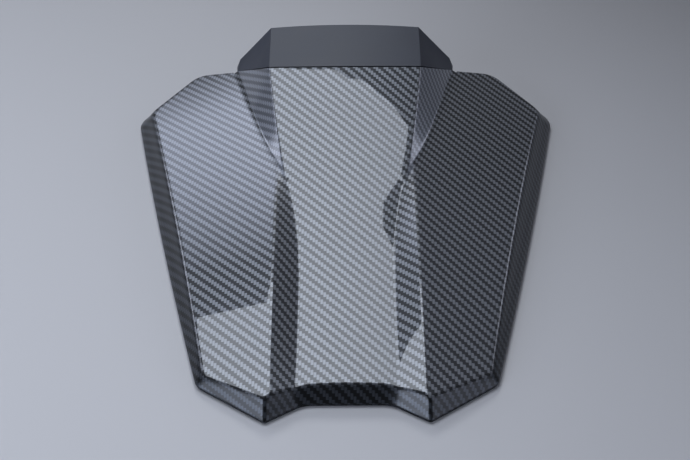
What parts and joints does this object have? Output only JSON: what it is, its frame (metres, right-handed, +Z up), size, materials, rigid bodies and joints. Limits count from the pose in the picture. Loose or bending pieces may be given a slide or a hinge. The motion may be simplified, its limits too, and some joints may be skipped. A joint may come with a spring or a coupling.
{
  "type": "motorcycle pillion seat cowl",
  "caption": "Faceted pillion seat cowl for a motorcycle with a raised hump, a matt black front panel, a base tray and a latch striker.",
  "frame": {"origin": "middle of the rim's bounding box in the plane of the rim, which is also the lowest plane of the object", "axes": "+X across the cowl to the right of the rider, +Y forward to the rider, +Z up out of the rim"},
  "size_m": [0.2846, 0.3113, 0.0616],
  "materials": {
    "carbon_gloss": "gloss black and grey woven print under clear lacquer",
    "black_satin": "satin black paint",
    "black_moulding": "fine grained moulding",
    "zinc_steel": "zinc plated",
    "black_steel": "black oxide",
    "rubber": "matt"
  },
  "bodies": {
    "root": {"cowl_shell": "carbon_gloss", "front_panel": "black_satin", "base_tray": "black_moulding", "latch_striker": "zinc_steel", "backing_plate": "zinc_steel", "striker_bolts": "zinc_steel", "striker_nuts": "zinc_steel", "tray_screws": "black_steel", "panel_screws": "black_steel", "buffer_front_left": "rubber", "buffer_front_right": "rubber", "buffer_rear_left": "rubber", "buffer_rear_right": "rubber"}
  },
  "joints": []
}
